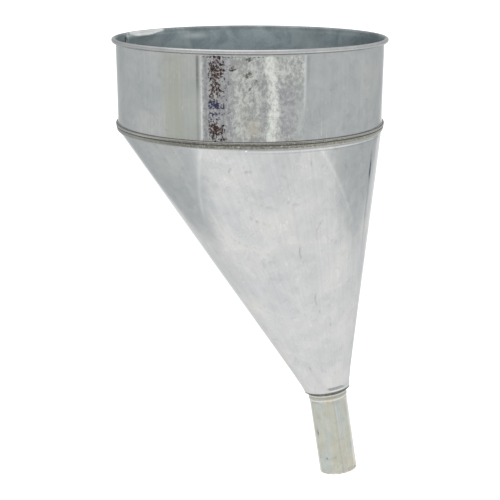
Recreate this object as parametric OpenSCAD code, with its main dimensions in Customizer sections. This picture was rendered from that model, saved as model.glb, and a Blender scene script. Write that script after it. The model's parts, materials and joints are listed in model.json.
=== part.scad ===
// Galvanised sheet-metal funnel with a straight collar, an offset cone and a short
// tilted spout.  Units are millimetres, +Z is up.  The origin is the centre of the
// spout's open tip, which is where the funnel is held in a filler neck.  The mouth
// is offset from the spout towards -X, and the XZ plane is the mirror plane.

/* [Sheet] */
// Thickness of the galvanised sheet
sheet_t = 0.45; // [0.35:0.05:0.6]

/* [Rim and collar] */
// Outside diameter over the wired rim
rim_d = 222.25; // [190:0.25:250]
// Diameter of the steel wire rolled into the rim
wire_d = 2.6; // [2:0.1:3.5]
// How far the wall opens outwards just under the rim
rim_flare = 0.18; // [0.1:0.02:0.5]
// Depth from the middle of the rim bead to the bottom of the body seam
collar_h = 71.1; // [50:0.1:100]
// Width of the overlap at the collar's side seam
collar_lap_w = 8; // [5:0.5:12]
// Angle round the collar of its side seam
collar_seam_angle = 191; // [0:1:359]

/* [Body seam] */
// Height of the folded double seam that joins collar and cone
seam_h = 5.3; // [4.5:0.1:8]
// Clearance between the folded layers
seam_gap = 0.13; // [0.08:0.01:0.2]

/* [Cone and neck] */
// Sideways offset of the cone's lower edge from the collar's axis
neck_offset = 74.3; // [50:0.1:85]
// Depth of the cone's lower edge below the middle of the rim bead
neck_drop = 286.4; // [250:0.1:320]
// Outside diameter of the cone's lower edge
neck_d = 36; // [35.4:0.1:38]
// Angle round the cone of its side seam, on the short side
cone_seam_angle = 6; // [-30:1:30]
// Angle either side of the cone's side seam that the sheet overlaps
cone_lap_angle = 2.7; // [2:0.1:5]

/* [Spout] */
// Outside diameter of the spout tube
spout_d = 31.2; // [30:0.1:31.8]
// Length of the spout below the cone's lower edge
spout_l = 71.5; // [50:0.5:100]
// Lean of the spout away from vertical
spout_tilt = 10; // [6:0.5:12]
// Angle round the tube at which its side seam runs
spout_seam_angle = -37; // [-180:1:180]
// Width of the solder line in the spout's side seam
spout_seam_w = 1.2; // [0.8:0.1:2]

/* [Strainer] */
// Place of the strainer between the cone's top, 0, and its lower edge, 1
strainer_place = 0.75; // [0.6:0.01:0.8]
// Thickness of the brass screen
screen_t = 0.5; // [0.4:0.05:0.8]
// Number of solder tacks that hold the strainer ring
tack_count = 4; // [3:1:6]

/* [Hidden] */
$fn = 96;

galvanised = [0.70, 0.72, 0.73];
solder_grey = [0.58, 0.58, 0.56];
brass_gold = [0.72, 0.58, 0.30];

touch = 0.02;                                   // gap left where solder meets sheet
bead_r = wire_d / 2 + sheet_t;                  // radius of the rolled rim's section
bead_c = rim_d / 2 - bead_r;                    // radius to the middle of the rim's section
wall_r = bead_c - bead_r - rim_flare;           // outside radius of the collar's wall
wall_in = wall_r - sheet_t;                     // inside radius of the collar's wall
flare_z = -3;                                   // where the wall starts to open to the rim
curl_end = 240;                                 // angle of the end of the rolled edge

seam_bot = -collar_h;                           // bottom of the body seam
seam_top = seam_bot + seam_h;                   // top of the body seam
layer = sheet_t + seam_gap;                     // one folded layer and its gap
hook_r = wall_r + 2 * layer;                    // outside radius of the collar's hook
band_r = wall_r + 3 * layer;                    // outside radius of the seam
hook_bot = seam_bot + layer;                    // underside of the collar's hook

neck_r = neck_d / 2;
cone_top_r = wall_r + 0.08;                     // outside radius of the cone's upper end
cone_top_z = seam_bot;                          // the slope starts at the seam's underside
side_out = neck_offset + cone_top_r - neck_r;   // horizontal run of the long side
side_in = neck_offset - cone_top_r + neck_r;    // horizontal run of the short side
cone_h = neck_drop - collar_h;
t_long = sheet_t / cos(atan(side_out / cone_h));  // level thickness on the long side
t_short = sheet_t / cos(atan(side_in / cone_h));  // level thickness on the short side
t_cut = (t_long + t_short) / 2;                 // how much smaller the inner ring is
t_shift = (t_long - t_short) / 2;               // how far its centre moves
ring_steps = 120;                               // facets round the cone

bore_r = spout_d / 2 - sheet_t;
tube_r = spout_d / 2;
swage_l = 8.6;                                  // height of the swaged stretch of the spout
bell_l = 5.5;                                   // how far the spout's bell reaches into the cone
bell_r = tube_r + 1.7;                          // bell radius at the cone's lower edge
bell_top_r = tube_r + 2.2;                      // bell radius at its top
tip_to_axis = neck_offset + spout_l * sin(spout_tilt);
tip_to_rim = neck_drop + spout_l * cos(spout_tilt);

strainer_h = 2.4;                               // height of the strainer ring
strainer_w = 4;                                 // width of the strainer ring's flanges
ring_t = 0.4;                                   // sheet thickness of the strainer ring
strainer_r = cone_in_r(strainer_place) - 1.3;   // outside radius of the strainer ring
strainer_lean = atan(neck_r * strainer_place * sin(spout_tilt) / cone_in_r(strainer_place));
tack_r = 1.25;                                  // radius of one solder tack

// Inside radius of the cone at a place between its top, 0, and its lower edge, 1
function cone_in_r(place) = (cone_top_r - t_cut) * (1 - place) + (neck_r - t_cut) * place;

// A point on the cone's upper ring
function top_pt(a, r, shift) = [shift + r * cos(a), r * sin(a), cone_top_z];

// A point on the cone's lower ring, which is square to the spout
function neck_pt(a, r, shift) = [
    neck_offset + shift + r * cos(a) * cos(spout_tilt),
    r * sin(a),
    -neck_drop + r * cos(a) * sin(spout_tilt)
];

// Angles round the cone, with a sharp step at each side of the side seam's overlap
function cone_angles() = concat(
    [for (s = [-1 : 0.25 : 1]) cone_seam_angle + s * cone_lap_angle],
    [for (i = [0 : ring_steps - 1])
        cone_seam_angle + cone_lap_angle + 0.05
        + i * (360 - 2 * cone_lap_angle - 0.1) / (ring_steps - 1)]
);

// How many sheets thick the cone is at an angle
function sheets(a) = a <= cone_seam_angle + cone_lap_angle ? 2 : 1;

// Closed wall swept round a ring, from a list of rings that each hold one profile point
module swept_wall(rings) {
    m = len(rings);
    n = len(rings[0]);
    pts = [for (ring = rings) for (p = ring) p];
    faces = [for (b = [0 : m - 1]) for (i = [0 : n - 1]) for (half = [0, 1])
        let (j = (i + 1) % n, p = b * n, q = ((b + 1) % m) * n)
        half == 0 ? [p + i, q + j, q + i] : [p + i, p + j, q + j]];
    polyhedron(points = pts, faces = faces, convexity = 4);
}

// Solid that fills the cone's inside, held back from its wall by a clearance
module cone_inside(clear) {
    n = ring_steps;
    a = [for (i = [0 : n - 1]) i * 360 / n];
    pts = concat(
        [for (v = a) top_pt(v, cone_top_r - t_cut - clear, t_shift)],
        [for (v = a) neck_pt(v, neck_r - t_cut - clear, t_shift)]
    );
    sides = [for (i = [0 : n - 1]) for (half = [0, 1])
        let (j = (i + 1) % n)
        half == 0 ? [i, j, n + j] : [i, n + j, n + i]];
    polyhedron(
        points = pts,
        faces = concat(sides, [[for (i = [n - 1 : -1 : 0]) i]], [[for (i = [0 : n - 1]) n + i]])
    );
}

// Moves children from the collar's axis at rim height to the origin at the spout's tip
module from_rim() {
    translate([-tip_to_axis, 0, tip_to_rim])
        children();
}

// Leans children that stand on the spout's tip
module on_spout() {
    rotate([0, -spout_tilt, 0])
        children();
}

// Moves children to the strainer's plane
module on_strainer() {
    p = strainer_place;
    from_rim()
        translate([neck_offset * p + t_shift, 0, cone_top_z * (1 - p) - neck_drop * p])
            rotate([0, -strainer_lean, 0])
                children();
}

// Rectangle between two corners
module block(r0, z0, r1, z1) {
    translate([r0, z0])
        square([r1 - r0, z1 - z0]);
}

// Section of the sheet rolled round the rim wire
module rim_curl_section() {
    reach = 2 * bead_r;
    difference() {
        translate([bead_c, 0])
            circle(r = bead_r);
        translate([bead_c, 0])
            circle(r = bead_r - sheet_t);
        polygon([
            [bead_c, 0],
            [bead_c - reach, 0],
            [bead_c - reach, -reach],
            [bead_c + reach * cos(curl_end), reach * sin(curl_end)]
        ]);
    }
}

module collar() {
    color(galvanised)
        from_rim() {
            rotate_extrude($fn = 180)
                union() {
                    block(wall_in, hook_bot, wall_r, flare_z);
                    polygon([
                        [wall_in, flare_z],
                        [wall_r, flare_z],
                        [bead_c - bead_r + sheet_t, 0],
                        [bead_c - bead_r, 0]
                    ]);
                    rim_curl_section();
                    block(wall_in, hook_bot, hook_r, hook_bot + sheet_t);
                    block(hook_r - sheet_t, hook_bot, hook_r, seam_top - layer);
                }
            collar_lap();
        }
}

// Inner layer of the sheet's overlap at the collar's side seam
module collar_lap() {
    lap_angle = collar_lap_w / wall_in * 180 / PI;
    rotate([0, 0, collar_seam_angle - lap_angle / 2])
        rotate_extrude(angle = lap_angle, $fn = 180)
            block(wall_in - sheet_t, hook_bot + 2, wall_in + sheet_t / 2, flare_z);
}

module rim_wire() {
    color(solder_grey)
        from_rim()
            rotate_extrude($fn = 180)
                translate([bead_c, 0])
                    circle(r = wire_d / 2 - touch);
}

// Line of solder down the free edge of the collar's overlap
module collar_seam_solder() {
    lap_angle = collar_lap_w / wall_in * 180 / PI;
    line_angle = 0.7;
    color(solder_grey)
        from_rim()
            rotate([0, 0, collar_seam_angle + lap_angle / 2 + 0.02])
                rotate_extrude(angle = line_angle, $fn = 180)
                    block(wall_in - sheet_t, hook_bot + 2, wall_in - touch, flare_z);
}

// Radius and height of each corner of the cone's folded edge, from outside bottom to inside
function cone_hem() = [
    [cone_top_r, seam_bot],
    [band_r, seam_bot],
    [band_r, seam_top],
    [wall_r + seam_gap, seam_top],
    [wall_r + seam_gap, hook_bot + layer + seam_gap],
    [wall_r + layer, hook_bot + layer + seam_gap],
    [wall_r + layer, seam_top - sheet_t],
    [band_r - sheet_t, seam_top - sheet_t],
    [band_r - sheet_t, seam_bot + sheet_t],
    [wall_in, seam_bot + sheet_t]
];

module cone() {
    a = cone_angles();
    color(galvanised)
        from_rim()
            swept_wall(concat(
                [[for (v = a) neck_pt(v, neck_r, 0)]],
                [for (c = cone_hem()) [for (v = a) [c[0] * cos(v), c[0] * sin(v), c[1]]]],
                [[for (v = a) top_pt(v, cone_top_r - t_cut * sheets(v), t_shift)]],
                [[for (v = a) neck_pt(v, neck_r - t_cut * sheets(v), t_shift)]]
            ));
}

// Fillet of solder down the free edge of the cone's overlap
module cone_seam_solder() {
    a0 = cone_seam_angle + cone_lap_angle + 0.1;
    a1 = a0 + 0.8;
    color(solder_grey)
        from_rim()
            seam_fillet([[a0, touch], [a0, sheet_t], [a1, touch]], 0.02, 0.72);
}

// A point on the cone's inside, sunk from the wall by a depth
function inside_pt(a, place, depth) =
    top_pt(a, cone_top_r - t_cut - depth, t_shift) * (1 - place)
    + neck_pt(a, neck_r - t_cut - depth, t_shift) * place;

// Three-sided strip on the cone's inside between two places, from corners of angle and depth
module seam_fillet(corners, place_top, place_low) {
    pts = concat(
        [for (c = corners) inside_pt(c[0], place_top, c[1])],
        [for (c = corners) inside_pt(c[0], place_low, c[1])]
    );
    polyhedron(
        points = pts,
        faces = [
            [0, 1, 2], [5, 4, 3],
            [0, 3, 4], [0, 4, 1],
            [1, 4, 5], [1, 5, 2],
            [2, 5, 3], [2, 3, 0]
        ]
    );
}

// Solder run into the body seam, inside and outside
module body_seam_solder() {
    leg = 0.7;
    color(solder_grey)
        from_rim()
            rotate_extrude($fn = 180)
                union() {
                    polygon([
                        [wall_in - touch, seam_bot + sheet_t + touch],
                        [wall_in - touch, seam_bot + sheet_t + 1.6 * leg],
                        [wall_in - leg, seam_bot + sheet_t + touch]
                    ]);
                    polygon([
                        [wall_r + touch, seam_top + touch],
                        [wall_r + leg, seam_top + touch],
                        [wall_r + touch, seam_top + leg]
                    ]);
                }
}

// Outside of the spout as radius and height above its tip
function spout_outline() = [
    [tube_r, 0],
    [tube_r, spout_l - swage_l],
    [tube_r + 0.3, spout_l - 7],
    [tube_r + 0.65, spout_l - 5.8],
    [tube_r + 0.55, spout_l - 5],
    [tube_r + 0.35, spout_l - 4],
    [tube_r + 0.75, spout_l - 3],
    [tube_r + 1.3, spout_l - 2],
    [tube_r + 1.55, spout_l - 1],
    [bell_r, spout_l],
    [bell_top_r, spout_l + bell_l]
];

// Wedge that frees the line of the spout's side seam
module seam_wedge(width) {
    rotate([0, 0, spout_seam_angle])
        translate([bore_r - 2, -width / 2, -1])
            cube([6, width, spout_l + bell_l + 2]);
}

module spout() {
    outline = spout_outline();
    last = len(outline) - 1;
    color(galvanised)
        on_spout()
            difference() {
                rotate_extrude($fn = 120)
                    polygon(concat(
                        outline,
                        [for (i = [last : -1 : 0]) [outline[i][0] - sheet_t, outline[i][1]]]
                    ));
                seam_wedge(spout_seam_w);
            }
}

// Solder that closes the spout's side seam, flush inside and out
module spout_seam_solder() {
    outline = spout_outline();
    last = len(outline) - 1;
    color(solder_grey)
        on_spout()
            intersection() {
                rotate_extrude($fn = 120)
                    polygon(concat(
                        outline,
                        [for (i = [last : -1 : 0]) [outline[i][0] - sheet_t, outline[i][1]]]
                    ));
                seam_wedge(spout_seam_w - 2 * touch);
            }
}

// Solder between the spout's bell and the inside of the cone
module neck_solder() {
    low = spout_l + 0.3;
    high = spout_l + 4.2;
    rise = (bell_top_r - bell_r) / bell_l;
    far = neck_r + 6;
    color(solder_grey)
        intersection() {
            from_rim()
                cone_inside(touch);
            on_spout()
                rotate_extrude($fn = 120)
                    polygon([
                        [bell_r + rise * (low - spout_l) + touch, low],
                        [far, low],
                        [far, low + 1.2],
                        [bell_r + rise * (high - spout_l) + touch, high]
                    ]);
        }
}

// Channel ring that holds the edge of the screen
module strainer_ring() {
    slot = screen_t + 2 * touch;
    color(galvanised)
        on_strainer()
            rotate_extrude($fn = 120)
                difference() {
                    block(strainer_r - strainer_w, -strainer_h / 2, strainer_r, strainer_h / 2);
                    block(strainer_r - strainer_w - 1, slot / 2 + ring_t,
                        strainer_r - ring_t, strainer_h);
                    block(strainer_r - strainer_w - 1, -strainer_h,
                        strainer_r - ring_t, -slot / 2 - ring_t);
                    block(strainer_r - strainer_w - 1, -slot / 2, strainer_r - ring_t, slot / 2);
                }
}

// Brass screen, drawn as a plain disc of the woven wire's thickness
module strainer_screen() {
    color(brass_gold)
        on_strainer()
            cylinder(r = strainer_r - ring_t - 0.3, h = screen_t, center = true, $fn = 120);
}

// Blobs of solder on the strainer ring's edge, towards the cone's wall
module strainer_tacks() {
    color(solder_grey)
        on_strainer()
            difference() {
                for (i = [0 : tack_count - 1])
                    rotate([0, 0, (i + 0.5) * 360 / tack_count])
                        translate([strainer_r - 0.1, 0, strainer_h / 2])
                            sphere(r = tack_r, $fn = 32);
                cylinder(r = strainer_r + touch, h = strainer_h + touch, center = true, $fn = 120);
            }
}

collar();
rim_wire();
collar_seam_solder();
cone();
cone_seam_solder();
body_seam_solder();
spout();
spout_seam_solder();
neck_solder();
strainer_ring();
strainer_screen();
strainer_tacks();
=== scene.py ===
"""Looks for the offset galvanised funnel: fine sheet-metal meshes, procedural zinc, solder and brass.

Shapes are worked out in the rim frame: millimetres, Z up, with the origin on the collar's axis at the
middle of the rim bead.  to_frame() moves them to the row frame, whose origin is the spout's tip.
"""

import json
import math

import bmesh
import bpy
import numpy as np
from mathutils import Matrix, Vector


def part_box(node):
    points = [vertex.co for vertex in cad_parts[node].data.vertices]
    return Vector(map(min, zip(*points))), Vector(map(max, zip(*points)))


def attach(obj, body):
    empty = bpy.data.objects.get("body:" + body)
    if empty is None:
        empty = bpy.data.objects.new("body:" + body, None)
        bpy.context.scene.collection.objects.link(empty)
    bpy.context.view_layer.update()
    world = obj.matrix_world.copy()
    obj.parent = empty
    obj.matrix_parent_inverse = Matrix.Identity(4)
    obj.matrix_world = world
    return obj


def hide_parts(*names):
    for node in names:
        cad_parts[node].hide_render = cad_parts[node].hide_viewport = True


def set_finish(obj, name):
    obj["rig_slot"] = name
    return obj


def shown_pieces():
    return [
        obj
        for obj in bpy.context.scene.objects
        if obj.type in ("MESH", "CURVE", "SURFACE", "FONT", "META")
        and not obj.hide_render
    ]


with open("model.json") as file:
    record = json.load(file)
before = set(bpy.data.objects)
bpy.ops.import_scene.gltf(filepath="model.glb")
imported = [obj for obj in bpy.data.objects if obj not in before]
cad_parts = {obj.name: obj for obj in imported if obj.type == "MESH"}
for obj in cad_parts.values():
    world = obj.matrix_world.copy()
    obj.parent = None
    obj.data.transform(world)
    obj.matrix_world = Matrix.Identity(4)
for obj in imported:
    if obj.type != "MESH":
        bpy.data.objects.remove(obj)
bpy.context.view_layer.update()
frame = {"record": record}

# ---- Sizes, in millimetres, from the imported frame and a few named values
MM = 1000.0
SHEET = 0.45                 # galvanised sheet
WIRE_R = 1.3                 # wire in the rim
GAP = 0.13                   # clearance between folded layers
SWAGE_L = 8.6                # swaged stretch of the spout, above the straight tube
COLLAR_SEAM = 191.0          # degrees round the axis, from +X
CONE_SEAM = 6.0
SPOUT_LAP = (-47.0, -29.5)   # edges of the lap on the spout
LAP_W = 8.0                  # overlap of the collar's and cone's side seams

mounts = {m["name"]: m for m in frame["record"]["mounts"]}
spout_mount = mounts["spout_outside"]
tube_r = spout_mount["dims"]["r_mm"]
tube_l = spout_mount["dims"]["length_mm"]
spout_l = tube_l + SWAGE_L
spout_down = np.array(spout_mount["axis"])
spout_down /= np.linalg.norm(spout_down)
spout_side = np.array([-spout_down[2], 0.0, spout_down[0]])

collar_lo, collar_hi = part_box("collar")
cone_lo, cone_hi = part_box("cone")
bead_r = WIRE_R + SHEET
axis_x = (collar_lo.x + collar_hi.x) / 2 * MM
rim_z = collar_hi.z * MM - bead_r
rim_r = (collar_hi.y - collar_lo.y) / 2 * MM
bead_c = rim_r - bead_r
layer = SHEET + GAP
band_r = (cone_hi.y - cone_lo.y) / 2 * MM
wall_r = band_r - 3 * layer
wall_in = wall_r - SHEET
seam_top = cone_hi.z * MM - rim_z
hook_bot = collar_lo.z * MM - rim_z
seam_bot = hook_bot - layer
origin = np.array([axis_x, 0.0, rim_z])
neck_c = -spout_down * spout_l - origin
neck_r = 18.0                # cone's lower edge
Y_AXIS = np.array([0.0, 1.0, 0.0])
collar_h = -seam_bot


def to_frame(points):
    """Rim-frame millimetres to row-frame metres."""
    return (np.asarray(points) + origin) / MM


# ---- Small mathematics
def smooth(x, lo, hi):
    """0 below lo, 1 above hi, with a soft step between."""
    t = np.clip((np.asarray(x, float) - lo) / (hi - lo), 0.0, 1.0)
    return t * t * (3 - 2 * t)


def bump(x, middle, half):
    """1 at the middle, falling softly to 0 at half each side."""
    return 1 - smooth(np.abs(np.asarray(x, float) - middle), 0.0, half)


def between(x, lo, hi, soft):
    """1 between lo and hi, with soft sides."""
    return smooth(x, lo - soft, lo + soft) * (1 - smooth(x, hi - soft, hi + soft))


def turn_from(theta, middle):
    """Signed angle from middle to theta, in degrees from -180 to 180."""
    return (np.asarray(theta, float) - middle + 180.0) % 360.0 - 180.0


def arc(cx, cz, r, a0, a1, n):
    """Points on an arc, in degrees, without its first point."""
    a = np.radians(np.linspace(a0, a1, n + 1)[1:])
    return [(cx + r * math.cos(v), cz + r * math.sin(v)) for v in a]


def line(a, b, n):
    """Points from a to b without a."""
    t = np.linspace(0, 1, n + 1)[1:]
    return [(a[0] + (b[0] - a[0]) * v, a[1] + (b[1] - a[1]) * v) for v in t]


def waves(seed, turns, heights, count, k_low, k_high, period, amp):
    """Gentle undulation round and down a shell: a sum of seeded cosines that closes after a turn."""
    rng = np.random.default_rng(seed)
    total = np.zeros(np.broadcast(turns, heights).shape)
    for _ in range(count):
        k = rng.integers(k_low, k_high + 1)
        m = rng.uniform(-1, 1) * 2 * math.pi / period
        phase = rng.uniform(0, 2 * math.pi)
        total += np.cos(k * np.radians(turns) + m * heights + phase) * rng.uniform(0.5, 1.0) / k
    return amp * total * k_low / math.sqrt(count)


def ring_angles(steps, start, dense=()):
    """Angles round a ring from start, with extra close ones at each sharp step in dense."""
    base = start + np.arange(steps) * 360.0 / steps
    extra = []
    for d in dense:
        near = start + (d - start) % 360.0
        extra += [near - 0.012, near + 0.012]
    return np.unique(np.concatenate([base, extra])) if extra else base


# ---- Mesh making
def grid_object(name, grid, slot, closed_ring=True, coords=None, marks=None, sharp=38.0):
    """One object from a grid of points, closed profile by ring, in rim-frame millimetres.

    coords is (round, along) in millimetres for each ring and profile step, kept as a corner
    attribute so that patterns can run round and down the sheet.  marks is a dict of point masks.
    """
    m, n = grid.shape[:2]
    p, q = np.meshgrid(np.arange(m), np.arange(n if closed_ring else n - 1), indexing="ij")
    p2, q2 = (p + 1) % m, (q + 1) % n
    quads = np.stack([p * n + q, p * n + q2, p2 * n + q2, p2 * n + q], axis=-1).reshape(-1, 4)
    faces = quads.tolist()
    if not closed_ring:
        faces.append([i * n for i in range(m)][::-1])
        faces.append([i * n + n - 1 for i in range(m)])
    mesh = bpy.data.meshes.new(name)
    mesh.from_pydata(to_frame(grid.reshape(-1, 3)).tolist(), [], faces)
    if coords is not None:
        around, along = coords
        pp = np.stack([p, p, p + 1, p + 1], axis=-1).reshape(-1)
        qq = np.stack([q, q + 1, q + 1, q], axis=-1).reshape(-1)
        flat = np.zeros((len(pp), 3), np.float32)
        flat[:, 0] = around[qq]
        flat[:, 1] = along[pp]
        mesh.attributes.new("sheet_mm", "FLOAT_VECTOR", "CORNER").data.foreach_set("vector", flat.reshape(-1))
    for key, values in (marks or {}).items():
        attr = mesh.attributes.new(key, "FLOAT", "POINT")
        attr.data.foreach_set("value", np.ascontiguousarray(values, np.float32).reshape(-1))
    finish_mesh(mesh, sharp)
    return add_piece(name, mesh, slot)


def sheet_piece(name, solid, theta, radius, along, marks=None):
    """Galvanised piece whose patterns run round it at a given radius, down the sheet and back up."""
    around = np.append(theta, theta[0] + 360) * math.radians(1) * radius
    coords = (around, np.concatenate([along, along[::-1], [0.0]]))
    return grid_object(name, solid, "galvanised_sheet", coords=coords, marks=marks)


def signed_volume(mesh):
    """Volume inside the mesh, negative where its faces look inwards."""
    mesh.calc_loop_triangles()
    corners = np.zeros(len(mesh.vertices) * 3)
    mesh.vertices.foreach_get("co", corners)
    tris = np.zeros(len(mesh.loop_triangles) * 3, np.int64)
    mesh.loop_triangles.foreach_get("vertices", tris)
    p = corners.reshape(-1, 3)[tris.reshape(-1, 3)]
    return np.einsum("ij,ij->", p[:, 0], np.cross(p[:, 1], p[:, 2])) / 6


def finish_mesh(mesh, sharp):
    """Faces look outwards, are shaded smooth, and stay sharp where the sheet really turns."""
    if signed_volume(mesh) < 0:
        mesh.flip_normals()
    mesh.polygons.foreach_set("use_smooth", [True] * len(mesh.polygons))
    mesh.set_sharp_from_angle(angle=math.radians(sharp))
    mesh.validate()
    mesh.update()


def add_piece(name, mesh, slot):
    """Puts a finished mesh in the scene, on the one body and in its material slot."""
    piece = bpy.data.objects.new(name, mesh)
    bpy.context.scene.collection.objects.link(piece)
    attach(piece, "root")
    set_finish(piece, slot)
    return piece


def left_normals(grid):
    """Unit normals of a grid of face points, pointing to the left of the path, into the sheet."""
    around = np.roll(grid, -1, axis=1) - np.roll(grid, 1, axis=1)
    normal = np.cross(np.gradient(grid, axis=0), around)
    return normal / np.maximum(np.linalg.norm(normal, axis=-1, keepdims=True), 1e-9)


def shell(face, thickness):
    """Closed profile grid: a face whose sheet lies on the left of its path, and that sheet's other face."""
    depth = np.broadcast_to(thickness, face.shape[:2])[..., None]
    other = face + left_normals(face) * depth
    return np.concatenate([face, other[::-1]], axis=0)


def path_length(path):
    """Running length at each point of a path."""
    steps = np.linalg.norm(np.diff(np.asarray(path), axis=0), axis=1)
    return np.concatenate([[0.0], np.cumsum(steps)])


def soften(values):
    """Values evened out with their neighbours."""
    return np.convolve(np.pad(values, 1, mode="edge"), [0.25, 0.5, 0.25], mode="valid")


def revolve(path, theta):
    """Grid of points from a radius and height path turned round the collar's axis."""
    a = np.radians(theta)
    r = path[:, :1]
    return np.stack([r * np.cos(a), r * np.sin(a), np.repeat(path[:, 1:], len(a), 1)], -1)


# ---- Collar: one sheet, rolled round the rim wire, down the wall and hooked out into the body seam
RING = 600                   # steps round the large shells
LABEL = (-79.5, -38.4)       # frosted patch where a sticker has been, degrees round the collar
SPECKLE = (-77.0, -70.0)     # dark flecks of old glue in that patch
STAIN = (-96.0, -81.0)       # faint yellowed band beside it
DENT = 176.0                 # knock under the rim on the far side
RIDGE_Z = seam_top - 0.7     # middle of the rolled ridge that tops the body seam
RIDGE_R = 0.9
RIDGE_H = 1.1
FOLD_R = 0.53                # bend at the bottom of the collar's hook
TOP_FLARE = 0.30             # the wall opens by this much over its upper half
LENS = (163.0, 190.0)        # tilted flat that the knock left right under the rim
LAP_HALF = 2.14              # half the collar's overlap, degrees
# Soft round marks on the collar: angle, height, half width and half height in millimetres, strength
FLECK_SPOTS = (
    (-61.0, -16.4, 6.5, 7.5, 1.05),
    (-57.9, -21.4, 5.0, 4.5, 0.95),
    (-60.0, -27.0, 4.0, 8.0, 0.75),
    (-58.6, -34.5, 3.2, 4.2, 0.85),
    (-60.5, -5.8, 7.5, 3.0, 0.95),
    (-66.5, -12.0, 4.5, 5.0, 0.60),
)
TAN_SPOTS = ((-59.0, -56.0, 9.0, 12.0, 1.0), (-62.0, -45.0, 6.0, 12.0, 0.5))
# Painted reflections: pale patches on the collar's inner wall.
PALE_INSIDE = (
    (147.0, -6.5, 20.0, 4.5, 0.50),
    (153.0, -13.0, 14.0, 5.0, 0.35),
    (174.0, -8.0, 30.0, 10.0, 0.48),
    (91.0, -12.0, 26.0, 13.0, 0.28),
)


def collar_path():
    """Radius and height along the inner face of the collar's sheet, with the sheet on its left."""
    start = math.radians(-120)
    path = [(bead_c + bead_r * math.cos(start), bead_r * math.sin(start))]
    path += arc(bead_c, 0, bead_r, -120, 180, 44)
    path += line(path[-1], (wall_in + TOP_FLARE, -3.0), 5)
    path += line(path[-1], (wall_in, -45.0), 48)
    path += line(path[-1], (wall_in, hook_bot + FOLD_R), 24)
    path += arc(wall_in + FOLD_R, hook_bot + FOLD_R, FOLD_R, 180, 360, 8)
    path += line(path[-1], (wall_r + 0.97, seam_bot + 3.5), 5)
    path += line(path[-1], (wall_r + 0.97, RIDGE_Z - 0.45), 2)
    return np.array(path)


def wall_push(theta, z):
    """How far the collar's wall stands out from a true cylinder, in millimetres."""
    wall = smooth(-z, 2.0, 9.0) * (1 - smooth(-z, 54.0, collar_h - 7.5))
    push = waves(11, theta, z, 9, 2, 9, 150.0, 0.16) * wall
    push += waves(12, theta, z, 10, 14, 40, 60.0, 0.030) * wall
    for edge in LABEL:
        push += 0.10 * bump(turn_from(theta, edge), 0.0, 2.2) * wall
    flare = smooth(-z, collar_h - 9.0, collar_h - 6.2) * (z > seam_bot + 5)
    push += 0.16 * flare
    across, edge = lens_shape(theta)
    below = np.exp(-np.clip(-z - edge, 0, None) / 7.0) * (1 - smooth(-z, 30.0, 45.0))
    push -= 0.30 * edge * across * np.clip(-z / edge, 0.0, 1.0) * below
    turn = turn_from(theta, DENT - 30.0)
    push -= 0.40 * bump(turn, 0.0, 12.0) * smooth(-z, 1.4, 9.0) * (1 - smooth(-z, 16.0, 40.0))
    return push


def lens_shape(theta):
    """Strength of the flat under the rim and the depth of its lower edge, round the collar."""
    turn = np.asarray(theta, float) % 360.0
    across = smooth(turn, LENS[0], LENS[0] + 2.0) * (1 - smooth(turn, LENS[1] - 2.0, LENS[1]))
    edge = 0.25 + 2.1 * smooth(turn, LENS[0], LENS[0] + 11.0) * (1 - smooth(turn, LENS[1] - 9.0, LENS[1]))
    return across, edge


def bead_wobble(theta):
    """Slight unevenness of the rolled rim, always inwards."""
    wobble = waves(21, theta, np.zeros_like(theta), 12, 5, 40, 50.0, 0.06)
    return wobble - wobble.max() - 0.01


def push_radially(grid, theta, amount):
    """Moves grid points away from the collar's axis."""
    a = np.radians(theta)
    grid[..., 0] += amount * np.cos(a)
    grid[..., 1] += amount * np.sin(a)


def spot(theta, z, angle, height, half_w, half_h):
    """Soft round mask on the collar, with its half sizes in millimetres."""
    across = np.radians(turn_from(theta, angle)) * wall_r / half_w
    return bump(np.hypot(across, (z - height) / half_h), 0.0, 1.0)


def spots(theta, z, table):
    """Sum of soft round masks.  A row holds angle, height, half width, half height and strength."""
    return sum(strength * spot(theta, z, *place) for *place, strength in table)


def fleck_density(theta, z):
    """How thickly the glue flecks lie: three clusters down the column and a few stray ones."""
    column = between(theta, SPECKLE[0], SPECKLE[1], 0.9)
    lean = turn_from(theta, -74.2 + 0.02 * (z + 35.0))
    core = 0.72 + 0.28 * bump(lean, 0.0, 4.0)
    down = (0.95 * between(z, -21.0, -6.5, 1.5) + 0.80 * between(z, -35.0, -24.0, 2.0)
            + 1.00 * between(z, -41.5, -35.5, 1.0) + 0.50 * between(z, -50.0, -42.5, 1.5)
            + 1.00 * between(z, -62.0, -52.0, 2.0))
    dense = column * core * np.clip(down, 0.74, 1.0)
    dense += 0.50 * between(theta, SPECKLE[1], -67.0, 1.2) * between(z, -63.0, -8.0, 3.0)
    dense += spots(theta, z, FLECK_SPOTS)
    top_edge = bump(z, -3.9, 0.9) * (between(theta, -79.0, -64.5, 0.5) + between(theta, -60.5, -54.5, 0.5))
    low_edge = bump(z, seam_top + 2.4, 1.3) * between(theta, -72.0, -60.0, 1.0)
    return np.clip(dense + 0.85 * top_edge + 0.55 * low_edge, 0, 1)


def fleck_hue(theta, z):
    """0 where the flecks are brown and black, 0.5 where greenish, 1 where blue."""
    blue = between(z, -50.0, -35.0, 1.5) * (theta < -68.5)
    green = 0.5 * smooth(theta, -66.0, -63.5)
    return np.clip(blue + green, 0, 1)


def strip_middle(z):
    """Angle of the middle of the painted highlight strip in the sticker patch, which wanders down the wall.
    """
    return -52.6 - 1.3 * np.sin((z + 8.0) / 17.0) - 0.012 * z


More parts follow.
